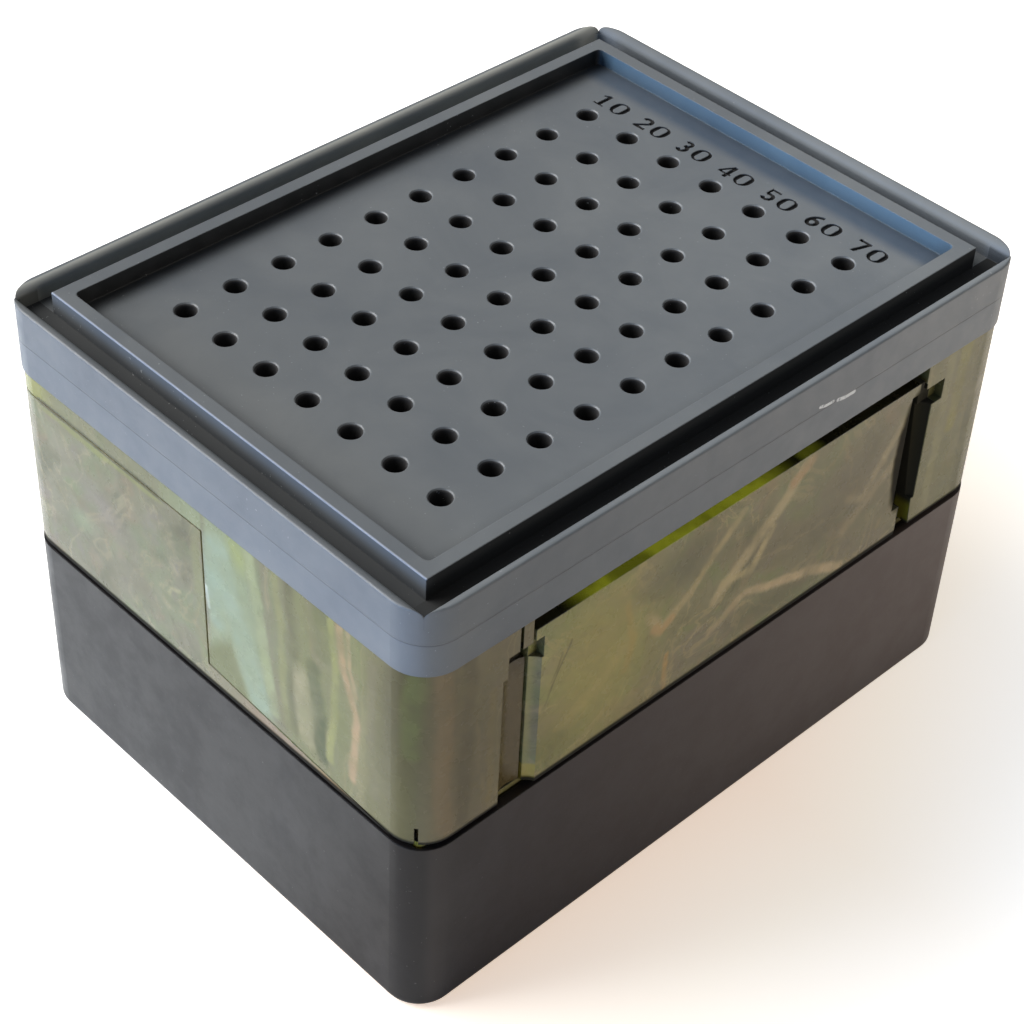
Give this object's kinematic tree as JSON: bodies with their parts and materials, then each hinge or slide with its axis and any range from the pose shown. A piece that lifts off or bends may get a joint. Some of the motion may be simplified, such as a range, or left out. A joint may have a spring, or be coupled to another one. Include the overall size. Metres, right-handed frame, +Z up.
{
  "type": "stacking card caddy with peg-counter lid",
  "caption": "Stacking box for playing cards: deep black base tray, two marbled halves that close over a deck, and a grey lid with a peg-hole scoring board.",
  "frame": {"origin": "centre of the footprint, on the surface that the tray stands on", "axes": "+Z up, +Y along the long side towards the numbered end of the peg board, +X across the short side towards the last numbered column, -Y is the front"},
  "size_m": [0.0802, 0.1076, 0.0707],
  "materials": {
    "black_plastic": "satin black moulded plastic, lightly dusty and scuffed",
    "marbled_plastic": "slightly translucent olive plastic with pale green, pinkish and dark swirls, glossy",
    "grey_plastic": "smooth slate-grey moulded plastic, satin",
    "red_peg_plastic": "plain glossy red",
    "blue_peg_plastic": "plain glossy blue"
  },
  "bodies": {
    "tray": {"base_tray": "black_plastic"},
    "lower_half": {"lower_caddy_half": "marbled_plastic"},
    "upper_half": {"upper_caddy_half": "marbled_plastic"},
    "lid": {"peg_board_lid": "grey_plastic"},
    "peg_1": {"score_peg_1": "red_peg_plastic"},
    "peg_2": {"score_peg_2": "blue_peg_plastic"}
  },
  "joints": [
    {"name": "caddy_lift", "type": "slide", "parent": "tray", "child": "lower_half", "axis": [0, 0, 1], "range_m": [0, 0.05]},
    {"name": "upper_half_lift", "type": "slide", "parent": "lower_half", "child": "upper_half", "axis": [0, 0, 1], "range_m": [0, 0.05]},
    {"name": "lid_lift", "type": "slide", "parent": "upper_half", "child": "lid", "axis": [0, 0, 1], "range_m": [0, 0.03]},
    {"name": "peg_1_lift", "type": "slide", "parent": "tray", "child": "peg_1", "axis": [0, 0, 1], "range_m": [0, 0.02]},
    {"name": "peg_2_lift", "type": "slide", "parent": "tray", "child": "peg_2", "axis": [0, 0, 1], "range_m": [0, 0.02]}
  ]
}
